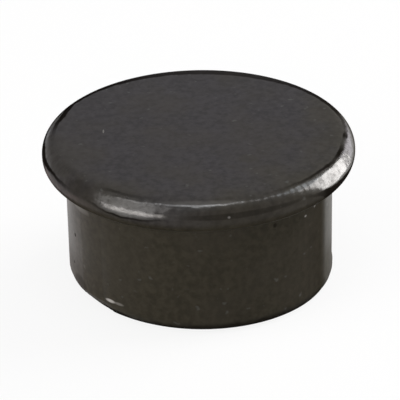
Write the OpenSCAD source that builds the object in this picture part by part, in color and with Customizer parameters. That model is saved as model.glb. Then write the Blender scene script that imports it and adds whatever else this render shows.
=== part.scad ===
// Small round board magnet: a moulded plug with a wide flat head, holding a pressed
// magnet disc flush with its foot.
// Units are millimetres. The origin is the centre of the holding face, and +Z runs
// along the axis towards the flat top.

/* [Head] */
// Diameter of the head at its widest
head_d = 13; // [12.9:0.1:16]
// Thickness of the head at its rim
head_h = 1.45; // [1.45:0.05:1.8]
// Radius of the rounding from the flat top into the rim
top_edge_r = 0.75; // [0.3:0.05:0.75]
// Radius of the rounding from the rim into the underside of the head
low_edge_r = 0.65; // [0.2:0.05:0.65]

/* [Skirt] */
// Overall height from the holding face to the flat top
total_h = 6.5; // [6.3:0.1:8]
// Diameter of the skirt where it would meet the underside of the head
skirt_d = 11.1; // [10.2:0.1:11.2]
// Draft of the skirt, which narrows towards the foot (degrees)
skirt_draft = 0.8; // [0.2:0.1:1.5]
// Radius of the fillet between the skirt and the head
neck_r = 0.22; // [0.1:0.02:0.24]
// Radius of the rounding at the outer edge of the foot
foot_r = 0.7; // [0.3:0.05:0.8]

/* [Magnet disc] */
// Diameter of the magnet disc
magnet_d = 8; // [6.5:0.1:8.2]
// Height of the magnet disc, and so the depth of the pocket
magnet_h = 4.8; // [3.6:0.1:5]
// Chamfer on both edges of the magnet disc
magnet_edge = 0.3; // [0.1:0.05:0.5]

/* [Pocket] */
// Radial gap between the magnet disc and the pocket wall
pocket_gap = 0.1; // [0.05:0.05:0.2]
// Chamfer that leads into the mouth of the pocket
mouth_lead = 0.2; // [0.1:0.05:0.25]
// Number of crush ribs that grip the magnet disc
rib_count = 6; // [3:1:8]
// Width of each crush rib
rib_w = 0.6; // [0.4:0.1:1]
// Height above the holding face at which the crush ribs start
rib_start = 1.2; // [0.8:0.1:2]

/* [Hidden] */
$fn = 180;
head_r = head_d / 2;
under_z = total_h - head_h;
skirt_top_r = skirt_d / 2;
draft_cos = cos(skirt_draft);
draft_sin = sin(skirt_draft);
draft_tan = tan(skirt_draft);
magnet_r = magnet_d / 2;
pocket_r = magnet_r + pocket_gap;
mouth_r = pocket_r + mouth_lead;
// How far the ribs run into the wall and roof behind them, and past the magnet's side
rib_root = 0.3;
// How far joined sections run into each other
overlap = 0.2;
// How far cutting shapes run past the faces they cut
overrun = 1;

// Radius of the straight side of the skirt at a height
function skirt_at(z) = skirt_top_r - (under_z - z) * draft_tan;

// Centre of the foot rounding: it touches both the holding plane and the skirt's side
foot_x = skirt_at(0) + foot_r * draft_tan - foot_r / draft_cos;
// Centre of the neck fillet: it touches both the skirt's side and the head's underside
neck_z = under_z - neck_r;
neck_x = skirt_at(neck_z) + neck_r / draft_cos;

// Half section of the head, rim rounded above and below
module head_section() {
    low_x = head_r - low_edge_r;
    top_x = head_r - top_edge_r;
    low_z = under_z + low_edge_r;
    top_z = total_h - top_edge_r;
    polygon([
        [0, under_z],
        [low_x, under_z],
        [low_x, low_z],
        [head_r, low_z],
        [head_r, top_z],
        [top_x, top_z],
        [top_x, total_h],
        [0, total_h]
    ]);
    intersection() {
        translate([low_x, low_z]) circle(low_edge_r);
        translate([low_x, under_z]) square([low_edge_r, low_edge_r]);
    }
    intersection() {
        translate([top_x, top_z]) circle(top_edge_r);
        translate([top_x, top_z]) square([top_edge_r, top_edge_r]);
    }
}

// Half section of the skirt, foot rounded, running up into the head
module skirt_section() {
    touch_x = foot_x + foot_r * draft_cos;
    touch_z = foot_r - foot_r * draft_sin;
    difference() {
        polygon([
            [0, 0],
            [skirt_at(0), 0],
            [skirt_at(under_z + overlap), under_z + overlap],
            [0, under_z + overlap]
        ]);
        difference() {
            polygon([
                [foot_x, -overrun],
                [touch_x + overrun, -overrun],
                [touch_x + overrun, touch_z],
                [touch_x, touch_z],
                [foot_x, foot_r]
            ]);
            translate([foot_x, foot_r]) circle(foot_r);
        }
    }
}

// Half section of the fillet under the head
module neck_section() {
    touch_x = neck_x - neck_r * draft_cos;
    touch_z = neck_z + neck_r * draft_sin;
    difference() {
        polygon([
            [touch_x - overlap, touch_z],
            [touch_x, touch_z],
            [neck_x, neck_z],
            [neck_x, under_z],
            [neck_x, under_z + overlap],
            [touch_x - overlap, under_z + overlap]
        ]);
        translate([neck_x, neck_z]) circle(neck_r);
    }
}

// Round body of the cap with nothing taken out
module cap_body() {
    rotate_extrude() {
        union() {
            head_section();
            skirt_section();
            neck_section();
        }
    }
}

// Space for the magnet disc, with a chamfered mouth
module pocket() {
    translate([0, 0, -overrun]) cylinder(h = magnet_h + overrun, r = pocket_r);
    cylinder(h = mouth_lead, r1 = mouth_r, r2 = pocket_r);
    translate([0, 0, -overrun]) cylinder(h = overrun, r = mouth_r);
}

// Crush ribs, hollowed to the diameter of the magnet disc
module crush_ribs() {
    rib_h = magnet_h - rib_start;
    difference() {
        for (i = [0 : rib_count - 1]) {
            rotate([0, 0, i * 360 / rib_count])
                translate([magnet_r - rib_root, -rib_w / 2, rib_start])
                    cube([pocket_gap + 2 * rib_root, rib_w, rib_h + rib_root]);
        }
        translate([0, 0, -overrun]) cylinder(h = magnet_h + overrun, r = magnet_r);
    }
}

// Moulded plastic plug with its flat head
module cap() {
    color([0.07, 0.07, 0.075]) {
        union() {
            difference() {
                cap_body();
                pocket();
            }
            crush_ribs();
        }
    }
}

// Pressed magnet disc, flush with the foot of the cap
module magnet() {
    color([0.16, 0.16, 0.17]) {
        rotate_extrude() {
            polygon([
                [0, 0],
                [magnet_r - magnet_edge, 0],
                [magnet_r, magnet_edge],
                [magnet_r, magnet_h - magnet_edge],
                [magnet_r - magnet_edge, magnet_h],
                [0, magnet_h]
            ]);
        }
    }
}

cap();
magnet();
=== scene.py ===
import math
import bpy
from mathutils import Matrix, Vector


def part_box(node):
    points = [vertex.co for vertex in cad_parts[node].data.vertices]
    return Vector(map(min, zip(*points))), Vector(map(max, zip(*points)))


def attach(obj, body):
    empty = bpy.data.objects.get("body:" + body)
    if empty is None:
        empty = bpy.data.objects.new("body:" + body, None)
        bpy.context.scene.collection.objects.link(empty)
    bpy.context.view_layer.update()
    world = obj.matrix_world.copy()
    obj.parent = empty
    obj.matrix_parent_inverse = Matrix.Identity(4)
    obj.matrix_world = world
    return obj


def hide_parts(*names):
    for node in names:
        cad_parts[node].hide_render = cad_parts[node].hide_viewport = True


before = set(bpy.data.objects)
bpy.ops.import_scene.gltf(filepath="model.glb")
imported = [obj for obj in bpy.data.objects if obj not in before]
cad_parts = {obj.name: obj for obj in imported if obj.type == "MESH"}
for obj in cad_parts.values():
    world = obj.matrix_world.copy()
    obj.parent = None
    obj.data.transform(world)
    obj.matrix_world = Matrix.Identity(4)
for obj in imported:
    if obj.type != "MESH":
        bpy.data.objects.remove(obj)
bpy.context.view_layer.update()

from types import SimpleNamespace

import bmesh
import bpy
from mathutils import Matrix, Vector

mm = 0.001
headLow, headHigh = [Vector(c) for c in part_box("cap")]
headRadius = (headHigh.x - headLow.x) / 2
totalHeight = headHigh.z - headLow.z
magnetLow, magnetHigh = [Vector(c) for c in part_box("magnet")]
magnetRadius = (magnetHigh.x - magnetLow.x) / 2
magnetHeight = magnetHigh.z - magnetLow.z
print("frame loaded, head radius", round(headRadius / mm, 2), "mm, height", round(totalHeight / mm, 2), "mm")

slack = 0.01 * mm  # how exactly a ring is found by its radius and height
mergeDistance = 0.0005 * mm


# mesh helpers: all but the first work on the piece that is open in edit mode

def addCylinder(name, sides, radius, height):
    # a closed cylinder that stands on the holding plane, opened in edit mode
    bpy.ops.object.select_all(action="DESELECT")
    bpy.ops.mesh.primitive_cylinder_add(vertices=sides, radius=radius, depth=height,
                                        end_fill_type="NGON", location=(0, 0, height / 2))
    bpy.ops.object.transform_apply(location=True)
    piece = bpy.context.object
    piece.name = name
    piece.data.name = name
    bpy.ops.object.mode_set(mode="EDIT")
    return piece


def pick(piece, kind, test):
    # kind is "verts", "edges" or "faces"; test says which of them to select
    bpy.ops.mesh.select_mode(type={"verts": "VERT", "edges": "EDGE", "faces": "FACE"}[kind])
    bm = bmesh.from_edit_mesh(piece.data)
    for group in (bm.faces, bm.edges, bm.verts):
        for part in group:
            part.select = False
    for part in [part for part in getattr(bm, kind) if test(part)]:
        part.select_set(True)
    bm.select_flush_mode()
    bmesh.update_edit_mesh(piece.data)


def near(a, b):
    return abs(a - b) < slack


def radiusOf(point):
    return math.hypot(point.x, point.y)


def onRing(part, radius, height):
    return all(near(radiusOf(v.co), radius) and near(v.co.z, height) for v in part.verts)


def widen(scale, height):
    # scales what is selected about the axis
    bpy.ops.transform.resize(value=(scale, scale, 1), center_override=(0, 0, height))


def extrudeTo(radiusFrom, radiusTo, rise, height):
    # extrudes what is selected straight up by rise, then scales it from one radius to the other
    bpy.ops.mesh.extrude_region_move(TRANSFORM_OT_translate={"value": (0, 0, rise)})
    widen(radiusTo / radiusFrom, height + rise)


def roundRing(piece, radius, height, size, steps):
    pick(piece, "edges", lambda e: onRing(e, radius, height))
    bpy.ops.mesh.bevel(offset=size, offset_type="OFFSET", segments=steps, profile=0.5,
                       affect="EDGES", clamp_overlap=False)


def closePiece(piece, sharpAngle):
    bpy.ops.mesh.select_all(action="SELECT")
    bpy.ops.mesh.remove_doubles(threshold=mergeDistance)
    bpy.ops.mesh.normals_make_consistent(inside=False)
    bpy.ops.object.mode_set(mode="OBJECT")
    bpy.ops.object.shade_smooth_by_angle(angle=math.radians(sharpAngle))
    print(piece.name, len(piece.data.polygons), "faces")


# the plug: head, rim, skirt, foot and pocket from one cylinder

plug = {
    "sides": 240,
    "rimHeight": 1.45 * mm,
    "topRound": 0.75 * mm,
    "lowRound": 0.65 * mm,
    "skirtTop": 5.55 * mm,
    "draft": math.radians(0.8),
    "neckRound": 0.22 * mm,
    "footRound": 0.7 * mm,
    "pocketGap": 0.1 * mm,
    "mouthLead": 0.2 * mm,
    "ribCount": 6,
    "ribWidth": 0.6 * mm,
    "ribStart": 1.2 * mm,
    "ribSlack": 0.02 * mm,
    "rimSteps": 16,
    "neckSteps": 6,
    "footSteps": 12,
    "sharpAngle": 40,
    # wear of the foot: below each level it leans over by an equal share of footLean
    "footLean": (0.21 * mm, -0.06 * mm, 0),
    "wornLevels": (0.66 * mm, 0.5 * mm, 0.34 * mm, 0.2 * mm, 0.1 * mm),
    # a shallow flat at its left: ranges in degrees, one inside the other, each pulled in a little
    "nick": ((203, 226), (206, 225), (209, 223)),
    "nickTop": 0.66 * mm,
    "nickScale": 0.996,
    "mouthMargin": 0.1 * mm,  # wear keeps this far from the pocket's mouth
}


def buildPlug():
    underside = totalHeight - plug["rimHeight"]
    skirtTop = plug["skirtTop"]
    skirtFoot = skirtTop - underside * math.tan(plug["draft"])
    piece = addCylinder("plug", plug["sides"], skirtFoot, underside)
    # draft on the skirt, then the head steps out and up
    pick(piece, "faces", lambda f: onRing(f, skirtFoot, underside))
    widen(skirtTop / skirtFoot, underside)
    extrudeTo(skirtTop, headRadius, 0, underside)
    extrudeTo(headRadius, headRadius, plug["rimHeight"], underside)
    # pocket from below, in steps: mouth, chamfer, plain wall, ribbed wall
    pocketRadius = magnetRadius + plug["pocketGap"]
    mouthRadius = pocketRadius + plug["mouthLead"]
    pick(piece, "faces", lambda f: onRing(f, skirtFoot, 0))
    extrudeTo(skirtFoot, mouthRadius, 0, 0)
    extrudeTo(mouthRadius, pocketRadius, plug["mouthLead"], 0)
    extrudeTo(pocketRadius, pocketRadius, plug["ribStart"] - plug["mouthLead"], plug["mouthLead"])
    extrudeTo(pocketRadius, pocketRadius, magnetHeight - plug["ribStart"], plug["ribStart"])
    # crush ribs: bands of the wall pulled in to the magnet
    halfRib = plug["ribWidth"] / 2 / pocketRadius

    def onRib(face):
        middle = face.calc_center_median()
        turn = math.tau / plug["ribCount"]
        angle = (math.atan2(middle.y, middle.x) + turn / 2) % turn - turn / 2
        onWall = abs(radiusOf(middle) - pocketRadius) < plug["ribSlack"]
        return onWall and abs(angle) < halfRib and middle.z > plug["ribStart"]

    pick(piece, "faces", onRib)
    bpy.ops.mesh.extrude_region_move(TRANSFORM_OT_translate={"value": (0, 0, 0)})
    widen(magnetRadius / pocketRadius, magnetHeight / 2)
    # rounded edges
    roundRing(piece, headRadius, totalHeight, plug["topRound"], plug["rimSteps"])
    roundRing(piece, headRadius, underside, plug["lowRound"], plug["rimSteps"])
    roundRing(piece, skirtTop, underside, plug["neckRound"], plug["neckSteps"])
    roundRing(piece, skirtFoot, 0, plug["footRound"], plug["footSteps"])

    def onFoot(vert, top):
        return radiusOf(vert.co) > mouthRadius + plug["mouthMargin"] and vert.co.z < top

    def inNick(vert, nickFrom, nickTo):
        angle = math.degrees(math.atan2(vert.co.y, vert.co.x)) % 360
        return nickFrom < angle < nickTo and onFoot(vert, plug["nickTop"])

    # the foot is worn more on its left than on its right: its rounding leans over, more so lower down
    leanStep = [amount / len(plug["wornLevels"]) for amount in plug["footLean"]]
    for level in plug["wornLevels"]:
        pick(piece, "verts", lambda v: onFoot(v, level))
        bpy.ops.transform.translate(value=leanStep)
    for nickFrom, nickTo in plug["nick"]:
        pick(piece, "verts", lambda v: inNick(v, nickFrom, nickTo))
        widen(plug["nickScale"], 0)
    closePiece(piece, plug["sharpAngle"])
    return piece


# the magnet disc: a short cylinder with its edges broken

disc = {"sides": 160, "edge": 0.3 * mm, "steps": 3, "sharpAngle": 50}


def buildDisc():
    piece = addCylinder("magnetDisc", disc["sides"], magnetRadius, magnetHeight)
    roundRing(piece, magnetRadius, 0, disc["edge"], disc["steps"])
    roundRing(piece, magnetRadius, magnetHeight, disc["edge"], disc["steps"])
    closePiece(piece, disc["sharpAngle"])
    return piece


# shader maths: a socket that can be used in plain expressions

class Wire:
    def __init__(self, paint, socket):
        self.paint = paint
        self.socket = socket

    def maths(self, operation, other=None, swap=False):
        values = [self, other] if other is not None else [self]
        if swap:
            values.reverse()
        node = self.paint.node("ShaderNodeMath", {"operation": operation}, dict(enumerate(values)))
        return node.out(0)

    def __add__(self, other): return self.maths("ADD", other)
    def __radd__(self, other): return self.maths("ADD", other, True)
    def __sub__(self, other): return self.maths("SUBTRACT", other)
    def __rsub__(self, other): return self.maths("SUBTRACT", other, True)
    def __mul__(self, other): return self.maths("MULTIPLY", other)
    def __rmul__(self, other): return self.maths("MULTIPLY", other, True)
    def __truediv__(self, other): return self.maths("DIVIDE", other)
    def __rtruediv__(self, other): return self.maths("DIVIDE", other, True)


class MadeNode:
    def __init__(self, paint, node):
        self.paint = paint
        self.made = node

    def out(self, which):
        return Wire(self.paint, self.made.outputs[which])


class Paint:
    # one material and the ways to add nodes to it

    def __init__(self, name):
        self.material = bpy.data.materials.new(name)
        self.material.use_nodes = True
        self.tree = self.material.node_tree
        self.tree.nodes.clear()

    def node(self, kind, settings=None, inputs=None):
        made = self.tree.nodes.new(kind)
        for key, value in (settings or {}).items():
            if key == "stops":
                self.setStops(made.color_ramp, value)
            else:
                setattr(made, key, value)
        for key, value in (inputs or {}).items():
            socket = made.inputs[key]
            if isinstance(value, Wire):
                self.tree.links.new(value.socket, socket)
            else:
                socket.default_value = value
        return MadeNode(self, made)

    def setStops(self, ramp, stops):
        # stops are (place from 0 to 1, grey value)
        while len(ramp.elements) > 1:
            ramp.elements.remove(ramp.elements[-1])
        for index, (place, value) in enumerate(stops):
            spot = ramp.elements[0] if index == 0 else ramp.elements.new(place)
            spot.position = place
            spot.color = (value, value, value, 1)

    def place(self, scale):
        # object coordinates in millimetres, then scaled
        coords = self.node("ShaderNodeTexCoord").out("Object")
        scaled = self.node("ShaderNodeVectorMath", {"operation": "SCALE"}, {0: coords, "Scale": scale / mm})
        return scaled.out("Vector")

    def noise(self, scale, detail, roughness, shift):
        where = self.place(scale)
        if shift:
            moved = self.node("ShaderNodeVectorMath", {"operation": "ADD"}, {0: where, 1: (shift, shift, shift)})
            where = moved.out(0)
        made = self.node("ShaderNodeTexNoise", {}, {"Vector": where, "Scale": 1, "Detail": detail,
                                                    "Roughness": roughness})
        return made.out("Fac")

    def ramp(self, value, low, high, start=0.0, end=1.0):
        settings = {"clamp": True, "interpolation_type": "SMOOTHSTEP"}
        made = self.node("ShaderNodeMapRange", settings, {"Value": value, "From Min": low, "From Max": high,
                                                          "To Min": start, "To Max": end})
        return made.out("Result")

    def around(self, turn, stops):
        # a value that changes round the axis: stops are (degrees from 90 at the back to 450, value)
        low = min(value for _, value in stops)
        span = max(value for _, value in stops) - low
        ramp = [((angle - 90) / 360, (value - low) / span) for angle, value in stops]
        made = self.node("ShaderNodeValToRGB", {"stops": ramp}, {"Fac": turn})
        return made.out("Color") * span + low

    def blot(self, where, centre, size, soft):
        # an oval mark: where, centre and half size are pairs, soft is the share that fades
        across, along = [(axis - middle) / half for axis, middle, half in zip(where, centre, size)]
        return self.ramp(across * across + along * along, 1 + soft, 1 - soft)

    def mix(self, amount, first, second):
        made = self.node("ShaderNodeMix", {"data_type": "RGBA"}, {"Factor": amount, 6: first, 7: second})
        return made.out(2)

    def tint(self, first, amount):
        # a colour made darker or paler by a number
        return self.node("ShaderNodeVectorMath", {"operation": "SCALE"}, {0: first, "Scale": amount}).out(0)

    def bump(self, height):
        # height is in mm
        return self.node("ShaderNodeBump", {}, {"Strength": 1.0, "Distance": 1 * mm, "Height": height}).out(0)

    def shader(self, inputs):
        return self.node("ShaderNodeBsdfPrincipled", {}, inputs).out("BSDF")

    def mixShader(self, amount, first, second):
        return self.node("ShaderNodeMixShader", {}, {0: amount, 1: first, 2: second}).out(0)

    def finish(self, shader):
        self.node("ShaderNodeOutputMaterial", {}, {"Surface": shader})
        return self.material


def colour(red, green, blue):
    return (red, green, blue, 1)


# Lists of pairs are degrees round the axis (180 left, 270 front, 360 right, 90 and 450 back) against
# a value. Bends are degrees round the rim, from 0 at the flat top to 90 at its widest. A pair or four
# numbers in round brackets is a fade: from, to, and the values at both ends where they aren't 0 and 1.

plasticLook = {
    "head": colour(0.0345, 0.0318, 0.0342),
    "warm": colour(0.0352, 0.0318, 0.0262),
    "skirt": colour(0.0315, 0.0275, 0.0190),
    "cloud": colour(0.0400, 0.0350, 0.0270),
    # dark colour of marks and of painted shade
    "dirtAndShade": colour(0.0052, 0.0041, 0.0031),
    # pale pinkish colour of painted sheen
    "paintedSheen": colour(0.0950, 0.0700, 0.0640),
    "dust": colour(0.10, 0.10, 0.095),
    # pale colour of the tick on the top, of pale specks and of painted highlights
    "chalk": colour(0.42, 0.40, 0.38),
    # patterns: scale per mm, detail, roughness, shift
    "wave": (0.9, 2, 0.5, 3),
    "clouds": (0.35, 3, 0.55, 0),
    "grain": (6, 3, 0.6, 0),
    "chips": (3.0, 1.5, 0.5, 31),
    "mottle": (3.6, 2, 0.6, 23),
    "specks": (3.2, 1, 0.4, 7),
    "fine": (9, 3, 0.6, 11),
    "dents": (1.7, 1.5, 0.5, 17),
    # zones: the first two in mm from the widest line, the others in bend
    "headZone": (-0.6, -0.4),
    "skirtZone": (-0.1, -0.5),
    "topZone": (24, 19),
    "rimZone": (18, 40),
    "facetZone": (48, 108),

    # painted shade: a dark line along the border of the flat top
    "borderBend": [(90, 4), (110, 8), (130, 16), (150, 26), (161, 14), (168, 19), (182, 23), (300, 23),
                   (316, 25), (325, 24), (334, 26), (343.5, 27), (350, 23), (357, 27), (368, 32),
                   (385, 26), (405, 18), (425, 8), (450, 4)],
    "borderWidth": [(90, 22), (130, 16), (155, 11), (170, 7), (300, 4), (336, 5), (343, 6.5), (350, 6),
                    (357, 9), (362, 6), (372, 8), (385, 13), (405, 18), (425, 22), (450, 22)],
    "borderPaintedShade": [(90, 0.72), (125, 0.95), (150, 1), (166, 1), (172, 0.7), (177, 0.3), (184, 0),
                   (228, 0), (234, 0.5), (246, 0.3), (256, 0), (292, 0), (303, 0.25), (311, 0.5),
                   (319, 0.8), (330, 0.95), (336, 0.7), (341, 1), (345, 0.95), (350, 0.35),
                   (353.5, 0.35), (356, 0.95), (358, 0.95), (361, 0.35), (370, 0.5), (378, 0.95),
                   (405, 0.9), (425, 0.72), (450, 0.72)],
    "borderWander": 10,
    "borderSoft": 2.5,
    # the worn edge of the rim, and a band of painted shade below it
    "wornBend": [(90, 52), (150, 52), (178, 50), (185, 52), (191, 61), (201, 64), (208, 67), (214, 66),
                 (222, 66), (228, 76), (232, 86), (237, 92), (243, 94), (250, 89), (257, 80), (263, 66),
                 (268, 50), (300, 46), (306, 53), (311, 64), (315, 74), (319, 79), (324, 84), (330, 88),
                 (346, 90), (354, 84), (375, 70), (450, 52)],
    "wornSoft": [(90, 5), (244, 5), (254, 16), (266, 14), (304, 9), (318, 5), (450, 5)],
    "wornWidth": [(90, 14), (165, 18), (176, 30), (188, 26), (200, 14), (225, 12), (232, 9), (256, 9),
                  (266, 10), (310, 10), (319, 14), (325, 45), (352, 45), (372, 20), (450, 14)],
    "underRimPaintedShade": [(90, 0.5), (178, 1), (200, 1), (207, 0.8), (214, 0.35), (224, 0.25), (232, 0.6),
                 (238, 1), (250, 0.75), (257, 0.35), (264, 0), (300, 0), (312, 0.2), (318, 0.45),
                 (323, 1), (352, 1), (375, 0.7), (450, 0.5)],
    "wornWave": 6,
    "wornChips": 8,
    "underFrom": (0, 5),
    "underTo": (4, -4),
    # painted contact shadow round the foot, by height in mm
    "footPaintedShadow": [(90, 0.4), (200, 0.5), (216, 0.65), (226, 0.85), (300, 0.9), (330, 0.8), (350, 0.4),
                 (450, 0.4)],
    "footLine": (0.58, 0.26),
    "footWave": 0.2,
    "footChips": 0.15,
    "dirtAndShadeCover": 0.9,

    # gloss of the rim, where handling has polished it
    "polishAmount": [(90, 0.15), (150, 0.32), (165, 0.32), (190, 0.32), (200, 0.34), (214, 0.3),
                     (226, 0.25), (233, 0.75), (240, 1), (251, 0.95), (256, 0.6), (261, 0.5),
                     (266, 0.85), (280, 0.9), (281.5, 0.6), (290, 0.75), (294, 0.75), (305, 0.75),
                     (312, 0.95), (317, 0.62), (322, 1), (336, 1), (345, 0.95), (353, 0.95),
                     (358, 0.7), (364, 0.5), (385, 0.4), (420, 0.2), (450, 0.15)],
    "chipGloss": (0.3, 0.55, 0.65, 1.0),
    "grainGloss": (0.38, 0.52, 0.72, 1.0),
    # the light on the rim breaks into beads between the front and the right
    "beads": [(90, 0), (283, 0), (288, 1), (313, 1), (319, 0), (450, 0)],
    "beadRate": 2.1,
    "beadWander": 6,
    "beadGap": (0.3, -0.7),
    "beadDepth": 0.6,
    # gloss of the skirt, by height in mm, and of the flat top
    "skirtPolish": [(90, 0), (150, 0.25), (184, 0.35), (200, 0.225), (216, 0.045), (235, 0), (334, 0),
                    (337, 0.07), (339, 0.22), (343, 0.28), (358, 0.28), (378, 0.14), (410, 0.04), (450, 0)],
    "sheenTop": (4.95, 4.35, 0.35, 1.0),
    "sheenFoot": (1.2, 2.5, 0.18, 1.0),
    "topPolish": 0.46,
    # where all gloss dies out: turned away from the eye, on parts of the skirt, and under the rim
    "turnedAway": (0.71, 0.86),
    "skirtMatte": [(90, 0), (235, 0), (300, 0.2), (318, 0.6), (334, 0.95), (337.5, 0.6), (340.5, 0),
                   (450, 0)],
    "lowRimMatte": (96, 110),
    "ior": 1.14,
    "polishIor": 1.8,
    "polishRough": 0.18,
    "topRough": 0.50,
    "rimRough": 0.40,
    "skirtRough": 0.50,
    "grainRough": 0.10,
    "cloudRough": 0.06,

    # the head turns from neutral to warm outwards, to the right and to the front
    "warmOut": 0.6,
    "warmRight": 0.15,
    "warmFront": 0.1,
    "warmClouds": 4,
    "warmRange": (4.2, 7.2),
    # painted shade on the skirt towards its right side
    "skirtShade": [(90, 1), (235, 1.05), (300, 1), (322, 0.72), (334, 0.55), (338.5, 0.7), (342, 1),
                   (450, 1)],
    # a painted pinkish sheen on the left of the skirt
    "skirtPaintedSheen": [(90, 0), (150, 0.1), (180, 0.50), (196, 0.45), (212, 0.10), (235, 0), (450, 0)],
    "mottleRange": (0.25, 0.75, 0.78, 1.22),
    "cloudRange": (0.4, 0.65),
    "cloudAmount": 0.35,
    "speckRange": (0.70, 0.80),
    "speckAmount": 0.35,
    # the lower half of the rim: a painted pale sheen on the left, and painted shade underneath
    "paintedSheenAmount": [(90, 0), (188, 0.1), (196, 0.9), (202, 0.6), (208, 0.35), (214, 0.45), (222, 0.25),
                     (230, 0), (450, 0)],
    "paintedSheenFrom": (80, 90),
    "paintedSheenTo": (114, 98),
    "paintedSheenChips": (0.35, 0.6, 0.4, 1.0),
    "lowRimShade": (104, 122, 1.0, 0.88),

    # bump heights in mm; a facet is where the rubbed zone is flatter than the moulded rounding
    "waveHeight": 0.008,
    "fineHeight": 0.0009,
    "dentHeight": 0.035,
    "chipHeight": 0.012,
    "facetHeight": 0.18,
    "rimWear": [(90, 1), (262, 1), (300, 0.8), (316, 0.4), (324, 0.5), (334, 0.9), (450, 1)],
    "facet": [(90, 0), (215, 0), (234, 0.3), (252, 0.3), (262, 0), (312, 0), (320, 0.9), (345, 1),
              (358, 0.3), (450, 0)],

    # marks on the sides: degrees, height, half width in degrees, half height in mm, amount. The dark ones are
    # small marks, a smudge on the rim at the left front, darker patches low on the skirt at the left, and a wide
    # band of painted shade along the front of the rim near its widest line
    "dark": [(200.5, 2.88, 1.0, 0.08, 0.8), (197.5, 1.47, 0.9, 0.06, 0.6), (303.5, 4.56, 0.9, 0.10, 0.7),
             (220, 6.08, 8, 0.30, 0.30), (228, 0.30, 10, 0.20, 0.9), (204, 0.80, 6, 0.35, 0.35),
             (284, 5.93, 26, 0.12, 0.42)],
    "darkSoft": 0.5,
    # pale ones: painted highlights on the nick of the foot, a painted highlight streak under the rim at the left
    # and painted highlight bits along the front of the rim, with three small pale specks
    "pale": [(206.5, 4.46, 7, 0.16, 0.16), (280.5, 5.89, 0.5, 0.05, 0.3), (321.5, 4.35, 0.7, 0.05, 0.4),
             (328.5, 4.52, 0.7, 0.06, 0.3), (226.8, 0.87, 2.4, 0.07, 1.0), (231.6, 0.87, 2.4, 0.06, 0.28),
             (238.5, 5.90, 4.5, 0.07, 0.24), (246.5, 5.93, 3.5, 0.06, 0.16), (253.5, 5.95, 4, 0.06, 0.14),
             (259, 5.93, 6, 0.12, 0.03), (270, 6.40, 13, 0.06, 0.07)],
    "paleSoft": 0.9,
    # marks on the flat top: x, y and half sizes in mm, amount, colour
    "topMarks": [(-3.93, 0.34, 0.035, 0.16, 0.25, "chalk"), (2.05, -2.36, 0.45, 0.35, 0.5, "warm")],
    "topSoft": 0.5,
}


def plugPlaces(paint):
    # where a point lies on the plug, and the patterns and zones there
    look = plasticLook
    at = SimpleNamespace()
    split = paint.node("ShaderNodeSeparateXYZ", {}, {0: paint.place(1)})
    at.x, at.y, at.z = split.out(0), split.out(1), split.out(2)
    widest = (totalHeight - plug["topRound"]) / mm
    flat = (headRadius - plug["topRound"]) / mm
    at.radius = (at.x * at.x + at.y * at.y).maths("SQRT")
    at.turn = at.x.maths("ARCTAN2", 0 - at.y) / math.tau + 0.5
    at.angle = at.turn * 360 + 90
    at.bend = (at.radius - flat).maths("ARCTAN2", at.z - widest) * math.degrees(1)

    def around(name):
        return paint.around(at.turn, look[name])

    at.around = around
    for pattern in ("wave", "clouds", "grain", "chips", "mottle", "specks", "fine", "dents"):
        setattr(at, pattern, paint.noise(*look[pattern]))
    at.onHead = paint.ramp(at.z, *[widest + edge for edge in look["headZone"]])
    at.onSkirt = paint.ramp(at.z, *[widest + edge for edge in look["skirtZone"]])
    at.onTop = paint.ramp(at.bend, *look["topZone"]) * at.onHead
    # degrees below the worn edge, which wanders
    at.below = at.bend - around("wornBend") + (at.wave - 0.5) * look["wornWave"]
    at.below = at.below + (at.chips - 0.5) * look["wornChips"]
    return at


# dark marks, with painted shade along the rim's border, below its worn edge and round the foot
def plugDirtAndShade(paint, at):
    look = plasticLook
    # painted shade: a dark line along the border of the flat top
    border = at.bend - at.around("borderBend") + (at.chips - 0.5) * look["borderWander"]
    border = border.maths("ABSOLUTE") - at.around("borderWidth")
    border = paint.ramp(border, look["borderSoft"], -look["borderSoft"]) * at.onHead
    border = border * at.around("borderPaintedShade")
    # painted shade: a dark band below the worn edge of the rim
    under = paint.ramp(at.below, *look["underFrom"])
    under = under * paint.ramp(at.below - at.around("wornWidth"), *look["underTo"])
    under = under * at.around("underRimPaintedShade") * at.onHead
    dirtAndShade = border.maths("MAXIMUM", under)
    # dark marks, and the wide band of painted shade along the front of the rim
    for angle, height, wide, high, amount in look["dark"]:
        spot = paint.blot((at.angle, at.z), (angle, height), (wide, high), look["darkSoft"])
        dirtAndShade = dirtAndShade.maths("MAXIMUM", spot * amount)
    # painted contact shadow round the foot
    foot = at.z + (at.wave - 0.5) * look["footWave"] + (at.chips - 0.5) * look["footChips"]
    foot = paint.ramp(foot, *look["footLine"]) * at.around("footPaintedShadow")
    return dirtAndShade.maths("MAXIMUM", foot)


def plugGloss(paint, at):
    look = plasticLook
    rim = paint.ramp(at.below / at.around("wornSoft"), 1, -1) * (1 - at.onTop) * at.onHead
    rim = rim * at.around("polishAmount")
    rim = rim * paint.ramp(at.chips, *look["chipGloss"]) * paint.ramp(at.grain, *look["grainGloss"])
    gap = (at.angle * look["beadRate"] + at.chips * look["beadWander"]).maths("SINE")
    gap = paint.ramp(gap, *look["beadGap"])
    rim = rim * (1 - gap * at.around("beads") * look["beadDepth"])
    # the skirt shines less close under the head and near the foot
    skirt = at.onSkirt * at.around("skirtPolish")
    skirt = skirt * paint.ramp(at.z, *look["sheenTop"]) * paint.ramp(at.z, *look["sheenFoot"])
    return rim + at.onTop * look["topPolish"] + skirt


def plugMatte(paint, at, dirtAndShade):
    look = plasticLook
    facing = paint.node("ShaderNodeLayerWeight", {}, {"Blend": 0.5}).out("Facing")
    matte = dirtAndShade.maths("MAXIMUM", paint.ramp(facing, *look["turnedAway"]) * at.onHead)
    matte = matte.maths("MAXIMUM", at.onSkirt * at.around("skirtMatte"))
    return matte.maths("MAXIMUM", paint.ramp(at.bend, *look["lowRimMatte"]) * at.onHead)


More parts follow.
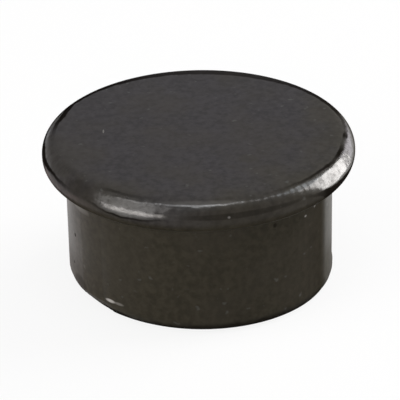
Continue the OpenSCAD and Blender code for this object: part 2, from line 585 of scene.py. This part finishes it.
def plugColour(paint, at, dirtAndShade):
    look = plasticLook
    warmth = at.radius * look["warmOut"] + at.x * look["warmRight"] - at.y * look["warmFront"]
    warmth = warmth + at.clouds * look["warmClouds"]
    base = paint.mix(paint.ramp(warmth, *look["warmRange"]), look["head"], look["warm"])
    # painted shade on the skirt towards its right side
    skirt = paint.tint(look["skirt"][:3], at.around("skirtShade"))
    # a painted pinkish sheen on the left of the skirt
    skirt = paint.mix(at.around("skirtPaintedSheen"), skirt, look["paintedSheen"])
    base = paint.mix(at.onSkirt, base, skirt)
    # mottling, faint clouds and sparse pale specks
    base = paint.tint(base, paint.ramp(at.mottle, *look["mottleRange"]))
    base = paint.mix(paint.ramp(at.clouds, *look["cloudRange"]) * look["cloudAmount"], base, look["cloud"])
    base = paint.mix(paint.ramp(at.specks, *look["speckRange"]) * look["speckAmount"], base, look["dust"])
    # a painted pale sheen on the lower rim at the left
    paintedSheen = paint.ramp(at.bend, *look["paintedSheenFrom"]) * paint.ramp(at.bend, *look["paintedSheenTo"])
    paintedSheen = paintedSheen * at.around("paintedSheenAmount") * paint.ramp(at.chips, *look["paintedSheenChips"])
    base = paint.mix(paintedSheen, base, look["paintedSheen"])
    # painted shade on the underside of the rim
    base = paint.tint(base, paint.ramp(at.bend, *look["lowRimShade"]))
    # the dark colour goes on marks and on painted shade
    base = paint.mix(dirtAndShade * look["dirtAndShadeCover"], base, look["dirtAndShade"])
    # pale marks: painted highlights, and a few pale specks
    for angle, height, wide, high, amount in look["pale"]:
        spot = paint.blot((at.angle, at.z), (angle, height), (wide, high), look["paleSoft"])
        base = paint.mix(spot * amount, base, look["chalk"])
    for markX, markY, wide, high, amount, shade in look["topMarks"]:
        spot = paint.blot((at.x, at.y), (markX, markY), (wide, high), look["topSoft"]) * at.onTop
        base = paint.mix(spot * amount, base, look[shade])
    return base


def plugRoughness(at):
    look = plasticLook
    rough = look["rimRough"] + at.onTop * (look["topRough"] - look["rimRough"])
    rough = rough + at.onSkirt * (look["skirtRough"] - look["rimRough"])
    return rough + (at.grain - 0.5) * look["grainRough"] + (at.clouds - 0.5) * look["cloudRough"]


def plugHeight(paint, at):
    # moulded waviness, fine grain, and a worn, uneven rim
    look = plasticLook
    onRim = paint.ramp(at.bend, *look["rimZone"]) * at.onHead * at.around("rimWear")
    height = at.wave * look["waveHeight"] + at.fine * look["fineHeight"]
    height = height + at.dents * onRim * look["dentHeight"] + at.chips * onRim * look["chipHeight"]
    facet = paint.ramp(at.bend, *look["facetZone"]) * at.around("facet") * look["facetHeight"]
    return height + facet * at.onHead


def makePlastic():
    paint = Paint("blackPlastic")
    look = plasticLook
    at = plugPlaces(paint)
    dirtAndShade = plugDirtAndShade(paint, at)
    base = plugColour(paint, at, dirtAndShade)
    bump = paint.bump(plugHeight(paint, at))
    moulded = paint.shader({"Base Color": base, "Roughness": plugRoughness(at), "IOR": look["ior"],
                            "Normal": bump})
    polished = paint.shader({"Base Color": base, "Roughness": look["polishRough"],
                             "IOR": look["polishIor"], "Normal": bump})
    dull = paint.shader({"Base Color": base, "Roughness": 1.0, "Specular IOR Level": 0.0, "Normal": bump})
    shiny = paint.mixShader(plugGloss(paint, at), moulded, polished)
    return paint.finish(paint.mixShader(plugMatte(paint, at, dirtAndShade), shiny, dull))


ferriteLook = {
    "base": colour(0.045, 0.045, 0.048),
    "pale": colour(0.09, 0.088, 0.085),
    "clouds": (0.8, 4, 0.55, 0),  # patterns: scale per mm, detail, roughness, shift
    "grain": (12, 3, 0.65, 5),
    "cloudRange": (0.4, 0.7),
    "cloudAmount": 0.6,
    "rough": 0.55,
    "grainRough": 0.25,
    "height": 0.004,
    "ior": 1.8,
}


def makeFerrite():
    paint = Paint("ferrite")
    look = ferriteLook
    clouds = paint.noise(*look["clouds"])
    grain = paint.noise(*look["grain"])
    base = paint.mix(paint.ramp(clouds, *look["cloudRange"]) * look["cloudAmount"], look["base"], look["pale"])
    rough = look["rough"] + (grain - 0.5) * look["grainRough"]
    bump = paint.bump(grain * look["height"] + clouds * look["height"])
    return paint.finish(paint.shader({"Base Color": base, "Roughness": rough, "IOR": look["ior"],
                                      "Normal": bump}))


# floor, lights and camera

floorLook = {
    "size": 1.2,
    "drop": 0.004 * mm,
    "colour": colour(0.94, 0.94, 0.935),
    "rough": 0.30,
    "ior": 1.5,
    "white": 0.88,  # share of plain white in what the camera, a reflection or glass sees of it
}


def buildFloor():
    bpy.ops.object.select_all(action="DESELECT")
    bpy.ops.mesh.primitive_plane_add(size=floorLook["size"], location=(0, 0, -floorLook["drop"]))
    bpy.ops.object.transform_apply(location=True)
    floor = bpy.context.object
    floor.name = "floor"
    paint = Paint("floorPaint")
    painted = paint.shader({"Base Color": floorLook["colour"], "Roughness": floorLook["rough"],
                            "IOR": floorLook["ior"]})
    path = paint.node("ShaderNodeLightPath")
    seen = path.out("Is Camera Ray") + path.out("Is Glossy Ray") + path.out("Is Transmission Ray")
    white = paint.node("ShaderNodeEmission", {}, {"Color": colour(1, 1, 1), "Strength": 1}).out(0)
    amount = seen.maths("MINIMUM", 1) * floorLook["white"]
    floor.data.materials.append(paint.finish(paint.mixShader(amount, painted, white)))


# each light: where it stands as seen from the object and how large it looks (degrees), how far away
# it stands (metres), its brightness and its tint
lights = {
    "overhead": {"azimuth": -92, "elevation": 83, "width": 28, "height": 24, "glow": 2.4, "away": 0.40,
                 "tint": (0.94, 0.97, 1.0)},
    "ceiling": {"azimuth": -85, "elevation": 84, "width": 66, "height": 15, "glow": 1.3, "away": 0.42,
                "tint": (1.0, 0.98, 0.97)},
    "archRight": {"azimuth": 12, "elevation": 46, "width": 24, "height": 22, "glow": 2.2, "away": 0.36,
                  "tint": (0.86, 0.93, 1.0)},
    "windowRight": {"azimuth": 21.5, "elevation": 19, "width": 39.5, "height": 36, "glow": 7.8, "away": 0.30,
                    "tint": (1.0, 0.975, 0.955)},
    "sideRight": {"azimuth": 56, "elevation": 12, "width": 22, "height": 24, "glow": 2.1, "away": 0.32,
                  "tint": (0.97, 0.93, 1.0)},
    "wallLeft": {"azimuth": -147, "elevation": 36, "width": 44, "height": 52, "glow": 1.3, "away": 0.34,
                 "tint": (1.0, 0.975, 0.955)},
    "lowLeft": {"azimuth": -138, "elevation": 8, "width": 44, "height": 24, "glow": 3.5, "away": 0.30,
                "tint": (1.0, 0.955, 0.93)},
    "farLeft": {"azimuth": 120, "elevation": 5, "width": 30, "height": 16, "glow": 0.3, "away": 0.38,
                "tint": (1.0, 0.93, 0.92)},
}
worldGlow = 0.25


def buildLights():
    for name, spec in lights.items():
        azimuth, elevation = math.radians(spec["azimuth"]), math.radians(spec["elevation"])
        direction = Vector((math.cos(elevation) * math.cos(azimuth), math.cos(elevation) * math.sin(azimuth),
                            math.sin(elevation)))
        light = bpy.data.lights.new(name, "AREA")
        light.shape = "RECTANGLE"
        light.size = 2 * spec["away"] * math.tan(math.radians(spec["width"] / 2))
        light.size_y = 2 * spec["away"] * math.tan(math.radians(spec["height"] / 2))
        light.energy = spec["glow"] * math.pi * light.size * light.size_y
        light.color = spec["tint"]
        holder = bpy.data.objects.new(name, light)
        holder.matrix_world = (Matrix.Translation(direction * spec["away"])
                               @ direction.to_track_quat("Z", "Y").to_matrix().to_4x4())
        bpy.context.scene.collection.objects.link(holder)
    world = bpy.data.worlds.new("studio")
    world.use_nodes = True
    background = world.node_tree.nodes["Background"]
    background.inputs["Color"].default_value = colour(worldGlow, worldGlow, worldGlow)
    bpy.context.scene.world = world


cameraSet = {
    "elevation": math.radians(27.62),
    "roll": math.radians(1.11),
    "away": 220 * mm,
    "lens": 475.1,
    "sensor": 36,
    "clip": (0.01, 10),
    "aim": Vector((0.02, 0, 3.38)) * mm,
}


def buildCamera():
    elevation = cameraSet["elevation"]
    back = Vector((0, -math.cos(elevation), math.sin(elevation)))
    camera = bpy.data.objects.new("camera", bpy.data.cameras.new("camera"))
    camera.data.lens = cameraSet["lens"]
    camera.data.sensor_width = cameraSet["sensor"]
    camera.data.clip_start, camera.data.clip_end = cameraSet["clip"]
    turn = back.to_track_quat("Z", "Y").to_matrix().to_4x4() @ Matrix.Rotation(-cameraSet["roll"], 4, "Z")
    camera.matrix_world = Matrix.Translation(cameraSet["aim"] + back * cameraSet["away"]) @ turn
    bpy.context.scene.collection.objects.link(camera)
    bpy.context.scene.camera = camera


buildCamera()
buildFloor()
buildLights()
print("camera, floor and lights placed")

plugPiece = buildPlug()
plugPiece.data.materials.append(makePlastic())
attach(plugPiece, "root")
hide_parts("cap")

discPiece = buildDisc()
discPiece.data.materials.append(makeFerrite())
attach(discPiece, "root")
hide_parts("magnet")
print("pieces dressed")

bpy.context.scene.view_settings.view_transform = "Standard"
